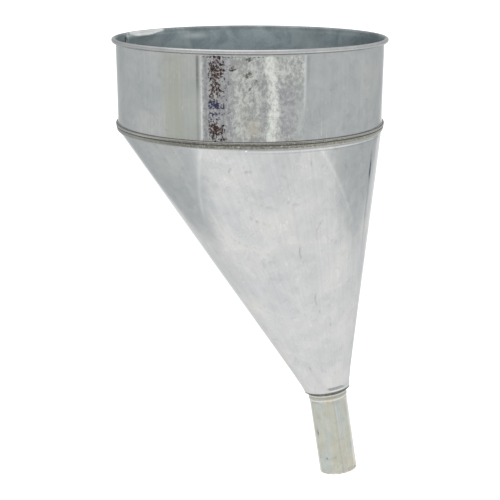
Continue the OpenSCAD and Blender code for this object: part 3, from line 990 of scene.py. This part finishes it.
# ---- Materials
class Paint:
    """One material's nodes.  Patterns are in millimetres of the object or of the sheet."""

    def __init__(self, name, **constants):
        self.mat = bpy.data.materials.new(name)
        self.mat.use_nodes = True
        self.tree = self.mat.node_tree
        self.shader = self.tree.nodes["Principled BSDF"]
        for key, value in constants.items():
            self.shader.inputs[key.replace("_", " ")].default_value = value
        place = self.node("ShaderNodeTexCoord").outputs["Object"]
        self.mm = self.vector("MULTIPLY", place, (MM, MM, MM))

    def node(self, kind, inputs=(), **settings):
        made = self.tree.nodes.new(kind)
        for key, value in settings.items():
            setattr(made, key, value)
        for key, value in dict(inputs).items():
            self.feed(made.inputs[key], value)
        return made

    def feed(self, socket, value):
        """Links a socket to a node's output, or gives it a plain value."""
        if isinstance(value, bpy.types.NodeSocket):
            self.tree.links.new(value, socket)
        elif isinstance(value, tuple) and len(value) == 3 and socket.type == "RGBA":
            socket.default_value = (*value, 1.0)
        else:
            socket.default_value = value

    def vector(self, operation, a, b):
        return self.node("ShaderNodeVectorMath", {0: a, 1: b}, operation=operation).outputs[0]

    def math(self, operation, a, b=0.0):
        return self.node("ShaderNodeMath", {0: a, 1: b}, operation=operation).outputs[0]

    def times(self, a, b):
        return self.math("MULTIPLY", a, b)

    def plus(self, a, b):
        return self.math("ADD", a, b)

    def mask(self, name):
        return self.node("ShaderNodeAttribute", attribute_name=name).outputs["Fac"]

    def sheet(self, round_scale, along_scale):
        """Sheet coordinates, stretched: x round the sheet, y down it."""
        place = self.node("ShaderNodeAttribute", attribute_name="sheet_mm").outputs["Vector"]
        return self.vector("MULTIPLY", place, (round_scale, along_scale, 1.0))

    def noise(self, size, detail=3.0, rough=0.5, where=None, warp=0.0):
        """Noise whose features are about size millimetres across."""
        inputs = {"Vector": where or self.mm, "Scale": 1.0 / size, "Detail": detail,
                  "Roughness": rough, "Distortion": warp}
        return self.node("ShaderNodeTexNoise", inputs).outputs["Fac"]

    def cells(self, size, where=None):
        """A random value for each crystal of about size millimetres."""
        inputs = {"Vector": where or self.mm, "Scale": 1.0 / size}
        colour = self.node("ShaderNodeTexVoronoi", inputs).outputs["Color"]
        return self.node("ShaderNodeSeparateColor", {0: colour}).outputs[0]

    def remap(self, value, lo, hi, to_lo=0.0, to_hi=1.0):
        inputs = {"Value": value, "From Min": lo, "From Max": hi, "To Min": to_lo, "To Max": to_hi}
        return self.node("ShaderNodeMapRange", inputs, interpolation_type="SMOOTHSTEP").outputs["Result"]

    def mix(self, amount, a, b, blend="MIX"):
        made = self.node("ShaderNodeMix", data_type="RGBA", blend_type=blend)
        self.feed(made.inputs["Factor"], amount)
        self.feed(made.inputs[6], a)
        self.feed(made.inputs[7], b)
        return made.outputs[2]

    def scale_colour(self, colour, value):
        """A colour multiplied by a grey value."""
        grey = self.node("ShaderNodeCombineColor", {0: value, 1: value, 2: value}).outputs[0]
        return self.mix(1.0, colour, grey, "MULTIPLY")

    def bump(self, height, strength, distance_mm):
        inputs = {"Height": height, "Strength": strength, "Distance": distance_mm / MM}
        made = self.node("ShaderNodeBump", inputs)
        self.tree.links.new(made.outputs[0], self.shader.inputs["Normal"])

    def set(self, key, value):
        self.feed(self.shader.inputs[key], value)


def zinc_base(p):
    """Colour and roughness of the bare sheet: cloudy grey, faint spangle and rolling streaks."""
    clouds = p.noise(38.0, 4.0, 0.55, warp=0.4)
    spangle = p.cells(6.5, p.vector("ADD", p.mm, p.mix(1.0, (0, 0, 0), p.noise(5.0, 2.0))))
    streaks = p.noise(1.0, 3.0, 0.6, p.sheet(0.55, 0.012))
    fine = p.noise(0.9, 2.0, 0.6)
    colour = p.mix(p.remap(clouds, 0.3, 0.7), (0.440, 0.441, 0.447), (0.510, 0.500, 0.490))
    beige = p.remap(p.noise(11.0, 3.0, 0.55, p.vector("MULTIPLY", p.mm, (1.0, 1.0, 0.35))), 0.38, 0.62)
    tinned = p.mix(beige, (0.585, 0.595, 0.560), (0.620, 0.580, 0.490))
    colour = p.mix(p.mask("tin"), colour, tinned)
    smudge = p.remap(p.noise(9.0, 5.0, 0.65, warp=0.8), 0.52, 0.72)
    colour = p.mix(p.times(smudge, 0.42), colour, (0.35, 0.355, 0.36))
    colour = p.scale_colour(colour, p.remap(streaks, 0.25, 0.75, 0.965, 1.03))
    colour = p.scale_colour(colour, p.remap(spangle, 0.0, 1.0, 0.972, 1.03))
    colour = p.scale_colour(colour, p.remap(fine, 0.2, 0.8, 0.975, 1.025))
    rough = p.remap(clouds, 0.3, 0.7, 0.19, 0.135)
    rough = p.plus(rough, p.remap(spangle, 0.0, 1.0, -0.015, 0.015))
    rough = p.plus(rough, p.remap(streaks, 0.2, 0.8, 0.02, -0.02))
    return colour, rough


def inside_zinc(p, colour, rough):
    """The collar's inside never got polished by hands: paler, bluer, rougher and cloudy."""
    inner = p.mask("inner")
    drift = p.noise(22.0, 4.0, 0.6, warp=0.6)
    speck = p.noise(1.5, 3.0, 0.6)
    pale = p.mix(p.remap(drift, 0.35, 0.65), (0.385, 0.450, 0.480), (0.60, 0.675, 0.70))
    pale = p.scale_colour(pale, p.remap(speck, 0.25, 0.75, 0.93, 1.07))
    colour = p.mix(inner, colour, pale)
    return colour, p.plus(rough, p.times(inner, p.remap(drift, 0.3, 0.7, 0.30, 0.22)))


def sticker_patch(p, colour, rough):
    """Frosted, mottled rectangle where a sticker has been, with its glue flecks."""
    frost = p.mask("frost")
    mottle = p.noise(2.6, 5.0, 0.72, p.sheet(1.0, 0.7))
    broad = p.noise(9.0, 3.0, 0.6, p.sheet(1.0, 0.6), warp=0.8)
    patchy = p.remap(p.plus(p.times(mottle, 0.65), p.times(broad, 0.35)), 0.41, 0.59)
    frosted = p.mix(patchy, (0.355, 0.352, 0.335), (0.655, 0.645, 0.605))
    colour = p.mix(p.times(frost, 0.90), colour, frosted)
    lilac = p.times(p.mask("lilac"), p.remap(mottle, 0.36, 0.60, 0.95, 0.45))
    colour = p.mix(lilac, colour, (0.335, 0.318, 0.345))
    tan = p.times(p.mask("tan"), p.remap(broad, 0.35, 0.6, 0.15, 0.75))
    colour = p.mix(tan, colour, (0.47, 0.41, 0.345))
    rough = p.plus(rough, p.times(frost, p.remap(mottle, 0.35, 0.65, 0.02, 0.16)))
    drawn_out = p.noise(3.2, 3.0, 0.6, p.sheet(1.0, 0.03))
    yellow = p.times(p.mask("yellow"), p.remap(drawn_out, 0.35, 0.62, 0.25, 1.0))
    colour = p.mix(p.times(yellow, 0.85), colour, (0.445, 0.435, 0.365))
    # Painted highlight: a ragged light strip down the sticker patch.
    frayed = p.noise(4.0, 4.0, 0.65, p.sheet(1.0, 0.45))
    ragged = p.plus(p.mask("shine"), p.remap(frayed, 0.25, 0.75, -0.5, 0.5))
    strip = p.times(p.remap(ragged, 0.25, 1.05, 0.0, 0.95), p.remap(mottle, 0.38, 0.58, 0.55, 1.0))
    colour = p.mix(strip, colour, (0.84, 0.825, 0.775))
    breaks = p.remap(p.noise(5.5, 3.0, 0.6, p.sheet(1.0, 0.7)), 0.3, 0.7, -0.05, 0.05)
    dots = p.noise(1.7, 4.0, 0.72, p.sheet(1.0, 0.8))
    dots = p.plus(dots, p.remap(p.mask("fleck"), 0.0, 1.0, -0.25, 0.045))
    amount = p.remap(p.plus(dots, breaks), 0.47, 0.53)
    hue = p.mask("hue")
    brown = p.mix(p.remap(p.noise(1.2, 2.0), 0.40, 0.54), (0.125, 0.050, 0.034), (0.010, 0.008, 0.008))
    glue = p.mix(p.remap(hue, 0.1, 0.4), brown, (0.115, 0.130, 0.105))
    glue = p.mix(p.remap(hue, 0.6, 0.9), glue, (0.030, 0.032, 0.080))
    colour = p.mix(p.times(amount, 0.95), colour, glue)
    return colour, p.plus(rough, p.times(amount, 0.2)), mottle


def seam_dirt(p, colour, rough, blotch):
    """Old flux and dirt on the band of the body seam, with a few bright flecks."""
    band = p.mask("solder")
    flecks = p.remap(p.noise(1.1, 3.0, 0.6), 0.60, 0.68)
    stained = p.mix(p.remap(blotch, 0.35, 0.65), (0.125, 0.118, 0.098), (0.255, 0.240, 0.205))
    stained = p.mix(p.times(p.mask("pale"), 0.8), stained, (0.33, 0.32, 0.28))
    stained = p.mix(p.times(flecks, 0.8), stained, (0.60, 0.59, 0.55))
    return p.mix(p.times(band, 0.95), colour, stained), p.plus(rough, p.times(band, 0.12))


# mask; blotches fade it from, to, least and most; strength; tone
WEAR = (
    # Dull rubs, and painted shade down the cone's creases.
    ("dull", (0.3, 0.7, 0.2, 0.8), 1.0, (0.42, 0.425, 0.42)),
    # Painted highlights and painted reflections, near white.
    ("bright", (0.0, 1.0, 1.0, 1.0), 0.85, (0.95, 0.95, 0.93)),
    # Grime, and painted shade and shadow in creases, grooves, gaps and under edges, near black.
    ("grime", (0.2, 0.6, 0.6, 1.0), 0.9, (0.065, 0.062, 0.058)),
    ("ink", (0.3, 0.55, 0.3, 1.0), 1.0, (0.055, 0.075, 0.13)),
    ("rust", (0.35, 0.55), 0.8, (0.36, 0.17, 0.07)),
)
# Webs of handling marks: stretch of the pattern, how rare, tone
WEBS = (
    ((1.0, 1.0, 0.05), 0.54, (0.88, 0.88, 0.86)),
    ((0.06, 1.0, 0.35), 0.56, (0.30, 0.30, 0.30)),
)


def scuffs(p, colour, rough, blotch):
    """Dull rubs, painted highlights, grime with painted shade, ink, rust and a fine web of handling marks."""
    for name, fade, strength, tone in WEAR:
        amount = p.times(p.mask(name), p.remap(blotch, *fade))
        colour = p.mix(p.times(amount, strength), colour, tone)
        if name == "grime":
            rough = p.plus(rough, p.times(amount, 0.25))
    for stretch, rare, tone in WEBS:
        web = p.noise(0.55, 1.5, 0.5, p.vector("MULTIPLY", p.mm, stretch), warp=0.25)
        lines = p.times(p.remap(web, 0.66, 0.72), p.remap(p.noise(17.0, 2.0), rare - 0.04, rare + 0.05))
        colour = p.mix(p.times(lines, 0.40), colour, tone)
    return colour, rough


def galvanised():
    """Zinc-coated sheet with the wear, dirt, painted shade and painted highlights that the masks place on it.
    """
    p = Paint("galvanised_zinc", Metallic=1.0, Specular_Tint=(0.72, 0.72, 0.72, 1.0))
    blotch = p.noise(1.6, 4.0, 0.65)
    colour, rough = zinc_base(p)
    colour, rough = inside_zinc(p, colour, rough)
    colour, rough, mottle = sticker_patch(p, colour, rough)
    colour, rough = seam_dirt(p, colour, rough, blotch)
    colour, rough = scuffs(p, colour, rough, blotch)
    p.set("Base Color", colour)
    p.set("Roughness", rough)
    relief = p.plus(p.times(mottle, p.mask("frost")), p.times(blotch, p.mask("solder")))
    p.bump(relief, 0.12, 0.10)
    return p.mat


def soldered():
    """Dull grey tin and lead, brighter where it was wiped."""
    p = Paint("old_solder", Metallic=1.0)
    clouds = p.noise(3.5, 4.0, 0.6)
    fine = p.noise(0.7, 3.0, 0.6)
    colour = p.mix(p.remap(clouds, 0.35, 0.65), (0.40, 0.395, 0.375), (0.60, 0.60, 0.58))
    colour = p.mix(p.remap(fine, 0.58, 0.72, 0.0, 0.5), colour, (0.22, 0.20, 0.17))
    colour = p.mix(p.times(p.mask("tin"), 0.9), colour, (0.585, 0.570, 0.505))
    p.set("Base Color", colour)
    p.set("Roughness", p.remap(clouds, 0.3, 0.7, 0.48, 0.30))
    p.bump(fine, 0.15, 0.15)
    return p.mat


def drawn_wire():
    """Plain steel wire, slightly rusted, seen only in the slit of the rolled rim."""
    p = Paint("drawn_steel_wire", Metallic=1.0)
    spots = p.noise(4.0, 4.0, 0.6)
    colour = p.mix(p.remap(spots, 0.45, 0.65), (0.46, 0.46, 0.46), (0.26, 0.17, 0.11))
    p.set("Base Color", colour)
    p.set("Roughness", p.remap(spots, 0.4, 0.7, 0.35, 0.6))
    p.bump(p.noise(0.5, 2.0), 0.1, 0.05)
    return p.mat


def brass():
    """Woven brass, tarnished in patches."""
    p = Paint("tarnished_brass", Metallic=1.0)
    patches = p.noise(13.0, 4.0, 0.6)
    colour = p.mix(p.remap(patches, 0.38, 0.62), (0.68, 0.53, 0.27), (0.42, 0.34, 0.20))
    p.set("Base Color", colour)
    p.set("Roughness", p.remap(patches, 0.3, 0.7, 0.28, 0.45))
    p.bump(p.noise(0.4, 2.0), 0.1, 0.03)
    return p.mat


def dress(materials):
    """Gives every piece, made or carried over, the material of its slot."""
    slots = {s["node"]: s["material_slot"] for s in frame["record"]["subparts"]}
    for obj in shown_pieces():
        chosen = materials[obj.get("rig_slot") or slots[obj.name]]
        obj.data.materials.clear()
        obj.data.materials.append(chosen)


# ---- Studio: pale floor, soft dome, one big soft light and the camera
CAMERA_TURN = math.radians(29.8)     # round from -Y towards +X
CAMERA_REACH = 0.9464                # from the collar's axis
CAMERA_RISE = 0.0855                 # above the rim's plane
CAMERA_DROP = math.radians(15.49)    # looks down by
FLOOR_Z = -1.10
# White paper on the floor, by metres to the right of and behind the funnel; each pair is a soft edge
PAPER_LEFT = (-1.27, -1.19)
PAPER_RIGHT = (3.7, 3.45)
PAPER_FRONT = (-2.6, -2.0)
PAPER_BACK = (1.4, 1.9)
WING_SLOPE = 0.25                    # the white behind the funnel widens by this with distance
WING_EDGE = (0.48, 0.30)
PALE = (0.583, 0.607, 0.612)         # floor round the paper
FLOOR_HALF = 40.0
FLOOR_GLOW = 0.50
OVERHEAD = (0.92, 0.95, 0.95)
DOME = (                             # brightness of the sky by height, from straight down to straight up
    (0.00, (0.50, 0.51, 0.51)),
    (0.50, (0.68, 0.69, 0.69)),
    (0.60, (0.72, 0.74, 0.75)),
    (0.75, OVERHEAD),
    (1.00, OVERHEAD),
)
DOME_TILT = 0.20                     # the brighter half of the sky leans to the right by this much
rim_centre = Vector(origin) / MM


def make_floor():
    """A wide pale floor: white paper under and behind the funnel, fading to pale grey round it."""
    mesh = bpy.data.meshes.new("studio_floor")
    corners = [(x * FLOOR_HALF, y * FLOOR_HALF, 0) for x, y in ((-1, -1), (1, -1), (1, 1), (-1, 1))]
    mesh.from_pydata(corners, [], [(0, 1, 2, 3)])
    floor = bpy.data.objects.new("studio_floor", mesh)
    floor.location = (rim_centre.x, rim_centre.y, FLOOR_Z)
    floor.rotation_euler = (0.0, 0.0, CAMERA_TURN)
    bpy.context.scene.collection.objects.link(floor)
    p = Paint("white_paper", Metallic=0.0, Roughness=0.9)
    place = p.node("ShaderNodeTexCoord").outputs["Object"]
    split = p.node("ShaderNodeSeparateXYZ", {0: place})
    right, back = split.outputs["X"], split.outputs["Y"]
    sheet = p.times(p.remap(right, *PAPER_LEFT), p.remap(right, *PAPER_RIGHT))
    sheet = p.times(sheet, p.remap(back, *PAPER_FRONT))
    off_axis = p.plus(p.math("ABSOLUTE", right), p.times(back, -WING_SLOPE))
    behind = p.times(p.remap(back, *PAPER_BACK), p.remap(off_axis, *WING_EDGE))
    white = p.math("MAXIMUM", sheet, behind)
    p.set("Base Color", p.mix(white, PALE, (0.88, 0.88, 0.88)))
    p.set("Emission Color", p.mix(white, PALE, (1.0, 1.0, 1.0)))
    p.set("Emission Strength", FLOOR_GLOW)
    mesh.materials.append(p.mat)


def make_dome():
    """Soft light from all round, a little cooler overhead."""
    world = bpy.data.worlds.new("studio_dome")
    bpy.context.scene.world = world
    world.use_nodes = True
    tree = world.node_tree
    lean = tree.nodes.new("ShaderNodeVectorMath")
    lean.operation = "DOT_PRODUCT"
    tree.links.new(tree.nodes.new("ShaderNodeTexCoord").outputs["Generated"], lean.inputs[0])
    towards = Vector((DOME_TILT * math.cos(CAMERA_TURN), DOME_TILT * math.sin(CAMERA_TURN), 1.0))
    lean.inputs[1].default_value = towards.normalized()
    level = tree.nodes.new("ShaderNodeMapRange")
    level.inputs["From Min"].default_value = -1.0
    tree.links.new(lean.outputs["Value"], level.inputs["Value"])
    ramp = tree.nodes.new("ShaderNodeValToRGB")
    tree.links.new(level.outputs["Result"], ramp.inputs["Fac"])
    stops = ramp.color_ramp.elements
    for i, (at, colour) in enumerate(DOME):
        stop = stops[i] if i < 2 else stops.new(at)
        stop.position = at
        stop.color = (*colour, 1.0)
    tree.links.new(ramp.outputs["Color"], tree.nodes["Background"].inputs["Color"])


def make_light(name, place, size, power, colour):
    """A soft rectangular light, aimed at the middle of the rim."""
    light = bpy.data.lights.new(name, "AREA")
    light.shape = "RECTANGLE"
    light.size, light.size_y = size
    light.energy = power
    light.color = colour
    obj = bpy.data.objects.new(name, light)
    obj.location = rim_centre + Vector(place)
    obj.rotation_mode = "QUATERNION"
    obj.rotation_quaternion = (rim_centre - obj.location).to_track_quat("-Z", "Y")
    bpy.context.scene.collection.objects.link(obj)


def make_camera():
    """The camera at the photograph's viewing angle."""
    data = bpy.data.cameras.new("camera")
    data.lens = 83.6
    data.sensor_width = 36.0
    data.clip_end = 200.0
    data.dof.use_dof = False
    cam = bpy.data.objects.new("camera", data)
    reach = Vector((math.sin(CAMERA_TURN), -math.cos(CAMERA_TURN), 0.0)) * CAMERA_REACH
    cam.location = rim_centre + reach + Vector((0.0, 0.0, CAMERA_RISE))
    cam.rotation_euler = (math.pi / 2 - CAMERA_DROP, 0.0, CAMERA_TURN)
    bpy.context.scene.collection.objects.link(cam)
    bpy.context.scene.camera = cam


make_camera()
make_collar()
make_cone()
make_spout()
make_body_seam_solder()
make_collar_seam_solder()
make_cone_seam_solder()
make_spout_seam_solder()
make_strainer_ring()
make_screen()
make_tacks()
dress({
    "galvanised_sheet": galvanised(),
    "steel_wire": drawn_wire(),
    "solder": soldered(),
    "brass_mesh": brass(),
})
make_floor()
make_dome()
make_light("soft_top", (-0.2, -0.4, 2.2), (2.4, 2.4), 12.0, (1.0, 0.99, 0.98))
bpy.context.scene.view_settings.view_transform = "Standard"
